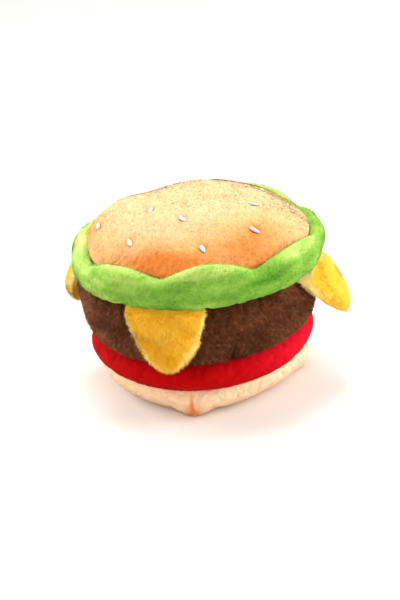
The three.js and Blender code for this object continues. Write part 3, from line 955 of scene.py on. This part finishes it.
def tomato_tone(places, normals):
    """Even, with a painted highlight that makes it paler and pinker on the right."""
    # Painted highlight on the right.
    return 0.42 + 0.3 * bump(azimuth_of(places), 85, 40)


def cheese_tone(centre):
    """Painted sheen where the cloth turns over its sewn edge, deep in the middle of each side."""
    def tone(places, normals):
        # Painted sheen, strongest where the cloth faces away from the corner's middle direction.
        edge = 1 - np.abs(normals @ centre)
        return 0.36 + 0.55 * np.clip(edge * 2.0 - 0.4, 0, 1)
    return tone


def middle_tone(places, normals):
    """The same middle tone everywhere."""
    return np.full(len(places), 0.5)


def write_tone(piece, shade):
    """Stores each corner's tone on a cover's mesh, so that the cloth matches the pile on it."""
    tone = shade(mesh_rows(piece.data, "co") * MM, mesh_rows(piece.data, "normal"))
    piece.data.attributes.new("tone", "FLOAT", "POINT").data.foreach_set("value", tone)


BAND_TONES = (
    (crown, crown_tone),
    (lettuce, lettuce_tone),
    (patty, patty_tone),
    (tomato, tomato_tone),
    (bottom, bottom_tone),
)
for cover, tone in BAND_TONES:
    write_tone(cover, tone)
print("covers with a tone of their own:", len(BAND_TONES))

# %% [markdown]
# ## Growing the pile
# The pile stays off the seeds and out of the seams' turned-in cloth. It is longest on the patty and the
# cheese and shortest on the tomato, which looks almost like velvet.

# %% Where tufts grow
SEED_CLEAR = 1.9


def shows_above_bun(places, normals):
    """True on the lettuce where it can be seen: outside, over the rim and the top of the inside."""
    inward = (normals * places).sum(axis=1) < 0
    return ~(inward & (places[:, 2] < LETTUCE_SEAM[1] + 8))


def above_the_wall(places, normals):
    """True on the crown where the lettuce doesn't hide it, and off the seeds."""
    return (from_seed(places) > SEED_CLEAR) & (places[:, 2] > SKIRT + 3)


def off_the_slit(places, normals):
    """False in the slit at the foot of the patty's closing seam."""
    return (np.abs(from_slit(places)) > 0.45) | (places[:, 2] > TOMATO_SEAM[1] + SLIT_RISE)


def off_the_darts(places, normals):
    """False under the flat foot and in the four darts, where the cloth is pulled in."""
    in_dart = (np.abs(from_dart(azimuth_of(places))) < 0.5) & (places[:, 2] < BUN_SEAM[1] - 2)
    return (normals[:, 2] > -0.93) & ~in_dart


# %% [markdown]
# ## The piles themselves
# Density is in tufts per square millimetre, and lengths and widths are in millimetres. The crown's tufts
# lie flattest. Each cheese corner has its own middle direction, from which its edges are told.

# %% Piles
piles = {
    "crown": pile(
        "top_bun_pile", crown_points, crown_rows, crown_tone, seed=101, density=4.2, length=1.4,
        width=0.17, lean=2.2, grain=0.22, clump=0.12, upward=0.4, keep=above_the_wall,
        nap=(0.4, -0.8, -0.5)),
    "lettuce": pile(
        "lettuce_pile", lettuce_points, None, lettuce_tone, seed=111, density=3.9, length=1.3,
        width=0.15, lean=1.1, wander=0.9, grain=0.4, clump=0.08, loop=True, keep=shows_above_bun,
        nap=(0, 0, 1)),
    "patty": pile(
        "patty_pile", patty_grid, patty_rows, patty_tone, seed=121, density=4.0, length=2.2,
        width=0.19, lean=0.8, wander=1.3, grain=0.6, clump=0.17, keep=off_the_slit),
    "tomato": pile(
        "tomato_pile", tomato_grid, tomato_rows, tomato_tone, seed=131, density=5.5, length=0.8,
        width=0.13, lean=1.1),
    "bottom": pile(
        "bottom_bun_pile", bottom_grid, bottom_rows, bottom_tone, seed=141, density=4.6, length=1.0,
        width=0.15, lean=1.1, keep=off_the_darts),
}
for number, (name, grid) in enumerate(flap_grids.items()):
    a = np.radians(HANG[name][0])
    centre = np.array([np.sin(a), -np.cos(a), 0.25])
    tone = cheese_tone(centre / np.linalg.norm(centre))
    write_tone(flaps[name], tone)
    piles[name] = pile(
        f"cheese_{name}_pile", grid, slice(1, None), tone, seed=151 + 10 * number, density=6.5,
        length=2.0, width=0.15, lean=0.8, wander=1.1, grain=0.4, clump=0.1)

# %% [markdown]
# ## Embroidered seeds
# A seed is a bar of satin stitch: threads laid side by side along it, fuller in the middle. Each thread
# is a tube along a low arch, and the threads fan out where the bar is widest.

# %% Satin stitch
THREADS, THREAD_STEPS, THREAD_SIDES = 7, 9, 6
THREAD_RADIUS, SEED_LIFT = 0.26, 0.75


def seed_threads(length, width, height):
    """Tubes in a seed's own frame, x along it: across = width/2 * k * (1 - s^2), arch = h (1 - s^2)."""
    s = np.linspace(-1, 1, THREAD_STEPS)[None, :, None]
    k = np.linspace(-1, 1, THREADS)[:, None, None]
    around = (np.arange(THREAD_SIDES) * TURN / THREAD_SIDES)[None, None, :]
    belly = (1 - s**2) ** 0.5
    thick = THREAD_RADIUS * (0.35 + 0.65 * belly)
    x = length / 2 * s * (1 - 0.12 * k**2) + 0 * around
    y = width / 2 * k * belly + thick * np.cos(around)
    z = height * (1 - 0.75 * k**2) * belly + thick * np.sin(around)
    return np.stack(np.broadcast_arrays(x, y, z), axis=-1)


def thread_faces():
    """Faces of all tubes, each closed by a face at both ends."""
    faces = []
    size = THREAD_STEPS * THREAD_SIDES
    tube = grid_faces(THREAD_STEPS, THREAD_SIDES)
    for k in range(THREADS):
        faces += (tube + k * size).tolist()
        faces.append([k * size + THREAD_SIDES - 1 - i for i in range(THREAD_SIDES)])
        faces.append([(k + 1) * size - THREAD_SIDES + i for i in range(THREAD_SIDES)])
    return faces


print("faces of a seed:", len(thread_faces()))

# %% [markdown]
# ## Laying the seeds
# Each seed lies where the frame has it, turned the way the frame's seed is turned, and follows the slope
# of the stuffed cloth under it.

# %% Seeds
def crown_place(x, y):
    """The height of the finished crown cloth nearest to a place, and its normal there."""
    first = crown_rows.start
    grid, normals = crown_points[first:], grid_normals(crown_points)[first:]
    away = np.hypot(grid[..., 0] - x, grid[..., 1] - y)
    i, j = np.unravel_index(away.argmin(), away.shape)
    return grid[i, j, 2], normals[i, j]


def seed_direction(node):
    """The long direction of a frame seed: the main axis of its corners."""
    points = corners(node)
    return np.linalg.svd(points - points.mean(axis=0))[2][0]


def stitch_seed(node, place):
    """One seed laid on the crown's cloth at the frame's place, along the frame seed's long axis."""
    x, y = leaned(place)[:2]
    z, normal = crown_place(x, y)
    normal = normal * 0.6 + np.array([0, 0, 0.4])
    normal /= np.linalg.norm(normal)
    along = seed_direction(node)
    along = along - normal * (along @ normal)
    along /= np.linalg.norm(along)
    across = np.cross(normal, along)
    local = seed_threads(length=7.2, width=1.8, height=0.7)
    centre = np.array([x, y, z]) + SEED_LIFT * normal
    points = centre + local @ np.stack([along, across, normal])
    return make_object(node + "_stitches", points, thread_faces())


seeds = {node: stitch_seed(node, place) for node, place in zip(SEEDS, SEED_PLACES)}
print("seeds:", len(seeds), "of", THREADS, "threads")

# %% [markdown]
# ## Hidden pieces
# The filling, the wadding and the side strip behind the lettuce can't be seen in use, but they turn up when
# the toy is taken apart. Fibre is a lump inside its cover with a woolly surface.

# %% Woolly lumps
def finer_copy(node):
    """A copy of a frame solid's mesh, its corners merged and every edge cut in two."""
    mesh = frame["nodes"][node].data.copy()
    mesh.materials.clear()
    cut = bmesh.new()
    cut.from_mesh(mesh)
    bmesh.ops.remove_doubles(cut, verts=cut.verts, dist=1e-6)
    bmesh.ops.subdivide_edges(cut, edges=cut.edges, cuts=1, use_grid_fill=True)
    cut.to_mesh(mesh)
    cut.free()
    return mesh


def fibre_lump(name, node, shape, size=7, depth=0.35):
    """A frame solid: normals * dents are taken off, and shape moves it to sit in the soft cover."""
    mesh = finer_copy(node)
    lump = bpy.data.objects.new(name, mesh)
    bpy.context.scene.collection.objects.link(lump)
    places, normals = mesh_rows(mesh, "co") * MM, mesh_rows(mesh, "normal")
    dents = depth * np.clip(waves(places, len(name), size), 0, 1)
    places = shape(places - normals * dents[:, None])
    mesh.vertices.foreach_set("co", (places / MM).ravel())
    mesh.update()
    return lump


def in_the_pouch(places):
    """The lower filling drawn in, most of all in the bottom bun, whose sides are flatter."""
    low = np.clip((BUN_SEAM[1] + 2 - places[:, 2:]) / 4, 0, 1)
    return leaned(places * np.where([1, 1, 0], 0.97 - 0.05 * low, 1))


def under_the_crown(places):
    """The upper filling drawn in, and lowered where the crown sinks and a little everywhere."""
    rise = np.clip((places[:, 2] - SKIRT) / (CROWN_TOP - SKIRT), 0, 1)
    sunk = np.minimum(crown_lumps(places), 0) - 2.4
    places = places * [0.92, 0.92, 1]
    return leaned(places + np.stack([0 * rise, 0 * rise, np.sqrt(rise) * sunk], axis=1))


# %% [markdown]
# ## Wadding
# The lettuce's wadding is its own grid drawn in a little, and a cheese corner's is its own pillow made
# smaller and hung the same way.

# %% Filling and wadding
def wadding_ring(name, grid, depth):
    """A ring of wadding just inside a padded ring: its grid moved in along the normals."""
    inside = grid - grid_normals(grid, True) * depth
    return make_object(name, inside, grid_faces(*inside.shape[:2], True))


filling = fibre_lump("lower_fibre_filling", "fibre_filling_lower", in_the_pouch)
upper_filling = fibre_lump("upper_fibre_filling", "fibre_filling_upper", under_the_crown)
side_strip = fibre_lump("top_bun_side_cloth", "top_bun_side", leaned, size=5, depth=0.2)
write_tone(side_strip, middle_tone)
bulb = fibre_lump("squeaker_soft_bulb", "squeaker_bulb", leaned, size=30, depth=0.02)
lettuce_wadding = wadding_ring("lettuce_fibre_wadding", lettuce_points[::2, ::2], 1.3)
core = pillow[2::2, ::2] * [0.82, 0.5, 0.84] + [0, 0, 0.06 * FLAP_LENGTH]
flap_wadding = {name: capped(f"cheese_{name}_fibre_wadding", hang_flap(core, name)) for name in HANG}
for lump in (filling, upper_filling, side_strip, bulb):
    print(lump.name, "faces:", len(lump.data.polygons))

# %% [markdown]
# ## Materials
# Plush is rough and has a soft sheen where it is seen edge on. The tufts' palette is a colour ramp from
# deep to pale along u, darkened towards the root along v, which is painted shade deep in the pile. The
# cloth under them shares the ramp, driven by its own tone and noise on object coordinates, with a fine bump
# for the knitted back.

# %% Node helpers
def new_material(name):
    """An empty node material: returns it, its tree and its shader."""
    material = bpy.data.materials.new(name)
    material.use_nodes = True
    tree = material.node_tree
    return material, tree, tree.nodes["Principled BSDF"]


def linear(colour):
    """A display colour as 0..255 numbers, turned into linear light for the shader."""
    c = np.array(colour) / 255
    return tuple(np.where(c <= 0.04045, c / 12.92, ((c + 0.055) / 1.055) ** 2.4)) + (1.0,)


def dimmed(colour, share):
    """A colour made darker: each of its numbers times the share."""
    return tuple(share * v for v in colour)


def ramp(tree, stops):
    """A colour ramp with the given (place, colour) stops."""
    node = tree.nodes.new("ShaderNodeValToRGB")
    elements = node.color_ramp.elements
    elements[0].position, elements[0].color = stops[0][0], linear(stops[0][1])
    elements[1].position, elements[1].color = stops[-1][0], linear(stops[-1][1])
    for place, colour in stops[1:-1]:
        elements.new(place).color = linear(colour)
    return node


def plush_shader(shader, sheen, tint):
    """The settings that all plush shares: rough, hardly any gloss, and a soft sheen."""
    shader.inputs["Roughness"].default_value = 0.9
    shader.inputs["Specular IOR Level"].default_value = 0.08
    shader.inputs["Sheen Weight"].default_value = sheen
    shader.inputs["Sheen Roughness"].default_value = 0.45
    shader.inputs["Sheen Tint"].default_value = linear(tint)


print("mid grey in linear light:", np.round(linear((128, 128, 128))[0], 3))

# %% [markdown]
# ## Pile and cloth
# Both finishes are made by a function, because six covers share them and differ only in colour, sheen and
# how dark the painted shade at the roots of the pile is.

# %% Plush finishes
DEEP_AT, MIDDLE_AT, PALE_AT = 0.05, 0.45, 0.9
CLOTH_SHADE = 0.96


def pile_material(name, deep, middle, pale, sheen, root):
    """Tuft colour from the palette UV: u picks the tone, and v darkens the root with painted shade."""
    material, tree, shader = new_material(name)
    uv = tree.nodes.new("ShaderNodeUVMap")
    uv.uv_map = "OFBake"
    split = tree.nodes.new("ShaderNodeSeparateXYZ")
    tone = ramp(tree, [(DEEP_AT, deep), (MIDDLE_AT, middle), (PALE_AT, pale)])
    # Painted shade towards the root of each tuft.
    shade = tree.nodes.new("ShaderNodeMapRange")
    shade.inputs["From Max"].default_value = 0.7
    shade.inputs["To Min"].default_value = root
    mix = tree.nodes.new("ShaderNodeVectorMath")
    mix.operation = "SCALE"
    tree.links.new(uv.outputs["UV"], split.inputs["Vector"])
    tree.links.new(split.outputs["X"], tone.inputs["Fac"])
    tree.links.new(split.outputs["Y"], shade.inputs["Value"])
    tree.links.new(tone.outputs["Color"], mix.inputs["Vector"])
    tree.links.new(shade.outputs["Result"], mix.inputs["Scale"])
    tree.links.new(mix.outputs["Vector"], shader.inputs["Base Color"])
    plush_shader(shader, sheen, pale)
    return material


def cloth_material(name, deep, middle, pale, sheen):
    """The cloth under the pile: its own tone and a little noise, with finer noise for the knit."""
    material, tree, shader = new_material(name)
    place = tree.nodes.new("ShaderNodeTexCoord")
    patch = tree.nodes.new("ShaderNodeTexNoise")
    patch.inputs["Scale"].default_value = 260
    patch.inputs["Detail"].default_value = 4
    knit = tree.nodes.new("ShaderNodeTexNoise")
    knit.inputs["Scale"].default_value = 900
    knit.inputs["Detail"].default_value = 2
    own = tree.nodes.new("ShaderNodeAttribute")
    own.attribute_name = "tone"
    mottle = tree.nodes.new("ShaderNodeMath")
    mottle.operation = "MULTIPLY_ADD"
    mottle.inputs[1].default_value = 0.3
    level = tree.nodes.new("ShaderNodeMath")
    level.operation = "SUBTRACT"
    level.inputs[1].default_value = 0.15
    stops = zip((DEEP_AT, MIDDLE_AT, PALE_AT), (deep, middle, pale))
    tone = ramp(tree, [(place_at, dimmed(colour, CLOTH_SHADE)) for place_at, colour in stops])
    raise_knit = tree.nodes.new("ShaderNodeBump")
    raise_knit.inputs["Strength"].default_value = 0.5
    raise_knit.inputs["Distance"].default_value = 0.0004
    tree.links.new(place.outputs["Object"], patch.inputs["Vector"])
    tree.links.new(place.outputs["Object"], knit.inputs["Vector"])
    tree.links.new(patch.outputs["Fac"], mottle.inputs[0])
    tree.links.new(own.outputs["Fac"], mottle.inputs[2])
    tree.links.new(mottle.outputs["Value"], level.inputs[0])
    tree.links.new(level.outputs["Value"], tone.inputs["Fac"])
    tree.links.new(tone.outputs["Color"], shader.inputs["Base Color"])
    tree.links.new(knit.outputs["Fac"], raise_knit.inputs["Height"])
    tree.links.new(raise_knit.outputs["Normal"], shader.inputs["Normal"])
    plush_shader(shader, sheen, pale)
    return material


# %% [markdown]
# ## Colours
# Each cover has a deep, a middle and a pale colour. Sheen is left off the tomato, whose velvet is too short
# for it, and the roots of the patty and the lettuce carry the darkest painted shade.

# %% Colours
COLOURS = {
    "bun": ((222, 128, 54), (228, 180, 120), (230, 204, 162)),
    "lettuce": ((78, 140, 34), (142, 190, 72), (228, 238, 144)),
    "patty": ((58, 26, 10), (102, 56, 30), (158, 104, 74)),
    "tomato": ((140, 0, 0), (182, 0, 3), (238, 16, 52)),
    "bottom": ((238, 148, 80), (255, 214, 170), (255, 240, 216)),
    "cheese": ((255, 164, 6), (255, 198, 52), (255, 238, 160)),
}
SHEEN = {"tomato": 0.0, "patty": 0.2, "cheese": 0.35}
# How bright each pile's roots stay under their painted shade.
ROOT_SHADE = {"bun": 0.9, "lettuce": 0.55, "patty": 0.4, "tomato": 0.6, "bottom": 0.75, "cheese": 0.95}
fur = {k: pile_material(f"{k}_pile", *v, SHEEN.get(k, 0.25), ROOT_SHADE[k]) for k, v in COLOURS.items()}
cloth = {k: cloth_material(f"{k}_cloth", *v, SHEEN.get(k, 0.2)) for k, v in COLOURS.items()}
print("plush finishes:", ", ".join(COLOURS))

# %% [markdown]
# ## Thread, fibre and plastic
# The seeds' satin is the shiniest finish, fibre the dullest, and the squeaker's plastic lies between.

# %% Thread, fibre and plastic
def hard_material(name, colour, roughness, scale, depth):
    """Thread, fibre or moulded plastic: one colour broken up by noise, with a bump of its own scale."""
    material, tree, shader = new_material(name)
    place = tree.nodes.new("ShaderNodeTexCoord")
    noise = tree.nodes.new("ShaderNodeTexNoise")
    noise.inputs["Scale"].default_value = scale
    noise.inputs["Detail"].default_value = 5
    tone = ramp(tree, [(0.3, dimmed(colour, 0.86)), (0.7, colour)])
    grain = tree.nodes.new("ShaderNodeBump")
    grain.inputs["Distance"].default_value = depth
    grain.inputs["Strength"].default_value = 0.6
    tree.links.new(place.outputs["Object"], noise.inputs["Vector"])
    tree.links.new(noise.outputs["Fac"], tone.inputs["Fac"])
    tree.links.new(noise.outputs["Fac"], grain.inputs["Height"])
    tree.links.new(tone.outputs["Color"], shader.inputs["Base Color"])
    tree.links.new(grain.outputs["Normal"], shader.inputs["Normal"])
    shader.inputs["Roughness"].default_value = roughness
    return material


satin = hard_material("seed_satin", (208, 200, 206), 0.38, 1600, 0.00005)
satin.node_tree.nodes["Principled BSDF"].inputs["Sheen Weight"].default_value = 0.3
thread = hard_material("sewing_thread", (232, 220, 198), 0.7, 2500, 0.0001)
fibre = hard_material("polyester_fibre", (246, 246, 242), 0.95, 500, 0.0008)
bulb_plastic = hard_material("bulb_plastic", (233, 230, 220), 0.42, 60, 0.00005)
whistle_plastic = hard_material("whistle_plastic", (243, 243, 243), 0.35, 300, 0.00002)
print("materials:", len(bpy.data.materials))

# %% [markdown]
# ## Putting it together
# Every piece rides on a body of the frame, stands for its frame node and takes that node's finish. A pile
# rides on the same body as its cover, so it goes wherever the cover goes.

# %% Riding and replacing
def fit(piece, body, material, nodes=()):
    """Paints a piece, lets it ride on a body and stand for its nodes."""
    piece.data.materials.clear()
    piece.data.materials.append(material)
    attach(piece, body)
    if nodes:
        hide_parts(*nodes)


BASE, CROWN = "stuffed_body", "crown"
fit(patty, BASE, cloth["patty"], ["patty_band"])
fit(tomato, BASE, cloth["tomato"], ["tomato_band"])
fit(bottom, BASE, cloth["bottom"], ["bottom_bun_cover"])
fit(lettuce, BASE, cloth["lettuce"], ["lettuce_outer", "lettuce_inner"])
fit(crown, CROWN, cloth["bun"], ["top_bun_crown"])
fit(piles["patty"], BASE, fur["patty"])
fit(piles["tomato"], BASE, fur["tomato"])
fit(piles["bottom"], BASE, fur["bottom"])
fit(piles["lettuce"], BASE, fur["lettuce"])
fit(piles["crown"], CROWN, fur["bun"])
for name, flap in flaps.items():
    body = f"cheese_{name}"
    fit(flap, body, cloth["cheese"], [f"{body}_back", f"{body}_face"])
    fit(piles[name], body, fur["cheese"])
    fit(flap_wadding[name], body, fibre, [f"{body}_wadding"])
# A single real tuft lets light through, most of all in pale cloth, so the cheese's cast no shadow.
for name in flaps:
    piles[name].visible_shadow = False
for node, seed in seeds.items():
    fit(seed, CROWN, satin, [node])
fit(lettuce_wadding, BASE, fibre, ["lettuce_wadding"])
fit(filling, BASE, fibre, ["fibre_filling_lower"])
fit(upper_filling, BASE, fibre, ["fibre_filling_upper"])
fit(side_strip, BASE, cloth["bun"], ["top_bun_side"])
fit(bulb, BASE, bulb_plastic, ["squeaker_bulb"])
print("covers, piles, seeds and fillings are riding on", BASE, CROWN, "and", len(flaps), "corners")

# %% [markdown]
# ## What a press on the crown would leave
# A press on the crown packs the fibre, folds the side strip and empties the bulb. Each of these gets a mesh
# of its own, and the share of its height that it would keep as the crown travels, never less than
# LEAST_LEFT, is worked out and printed.

# %% Share of height kept under the press
LEAST_LEFT = 0.05
press = next(j for j in frame["joints"] if j["name"] == "crown_press")
travel = max(press["range_m"])
for piece, node in ((upper_filling, "fibre_filling_upper"), (side_strip, "top_bun_side"),
                    (bulb, "squeaker_bulb")):
    low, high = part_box(node)
    keep = 1 - travel / (high[2] - low[2])
    keep = max(keep, LEAST_LEFT)
    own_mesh(piece)
    print(piece.name, "keeps", round(keep, 2), "of its height")

# %% [markdown]
# ## Frame pieces that stay
# The seam threads and the hard parts of the squeaker already have their true shape in the frame, so they
# only get a finish.

# %% Frame pieces that stay
STAYING = {
    "seam_thread_bun_tomato": thread,
    "seam_thread_tomato_patty": thread,
    "seam_thread_patty_lettuce": thread,
    "seam_thread_crown": thread,
    "squeaker_whistle": whistle_plastic,
    "squeaker_reed_seat": whistle_plastic,
    "squeaker_reed": whistle_plastic,
}
for node, material in STAYING.items():
    for slot in frame["nodes"][node].material_slots:
        slot.material = material
print("frame pieces that stay:", len(STAYING))

# %% [markdown]
# ## Floor and light
# A white floor with a broad soft lamp above and behind, and a weak one on each side, gives bright tops,
# gentle fronts and a faint shadow under the toy.

# %% Studio helpers
TOY_MIDDLE = Vector((0, 0, 0.04))
print("lamps aim at", tuple(round(v, 3) for v in TOY_MIDDLE), "m")


def plain_material(name, colour, roughness):
    """A plain studio surface."""
    material, tree, shader = new_material(name)
    shader.inputs["Base Color"].default_value = (*colour, 1)
    shader.inputs["Roughness"].default_value = roughness
    return material


def soft_light(name, place, size, power, colour):
    """A round area light of that diameter in metres, aimed at the toy's middle."""
    light = bpy.data.lights.new(name, "AREA")
    light.shape = "DISK"
    light.size = size
    light.energy = power
    light.color = colour
    lamp = bpy.data.objects.new(name, light)
    lamp.location = place
    lamp.rotation_euler = (TOY_MIDDLE - Vector(place)).to_track_quat("-Z", "Y").to_euler()
    bpy.context.scene.collection.objects.link(lamp)


# %% [markdown]
# ## The floor and the lamps
# The floor is wide enough to fill this camera's view. It lies a hair below the toy's foot, so that the
# two never share a plane.

# %% Studio
FLOOR_HALF, FLOOR_LEVEL = 4000.0, -0.4
ways = ((-1, -1), (1, -1), (1, 1), (-1, 1))
floor_corners = [(x * FLOOR_HALF, y * FLOOR_HALF, FLOOR_LEVEL) for x, y in ways]
floor = make_object("floor", np.array(floor_corners), [[0, 1, 2, 3]])
floor.data.materials.append(plain_material("white_sweep", (0.8, 0.755, 0.72), 0.7))
world = bpy.data.worlds.new("studio")
bpy.context.scene.world = world
world.use_nodes = True
sky = world.node_tree.nodes["Background"]
sky.inputs["Color"].default_value = (1, 0.965, 0.945, 1)
sky.inputs["Strength"].default_value = 1.12
soft_light("overhead", (-0.08, 0.2, 0.74), 0.45, 5.0, (0.94, 1, 1))
soft_light("left_side", (-0.75, 0.15, 0.32), 0.5, 4.5, (0.96, 1, 1))
soft_light("right_side", (0.75, 0.15, 0.3), 0.5, 5.5, (0.96, 1, 1))
bpy.context.scene.view_settings.view_transform = "Standard"
print("lamps:", len(bpy.data.lights))
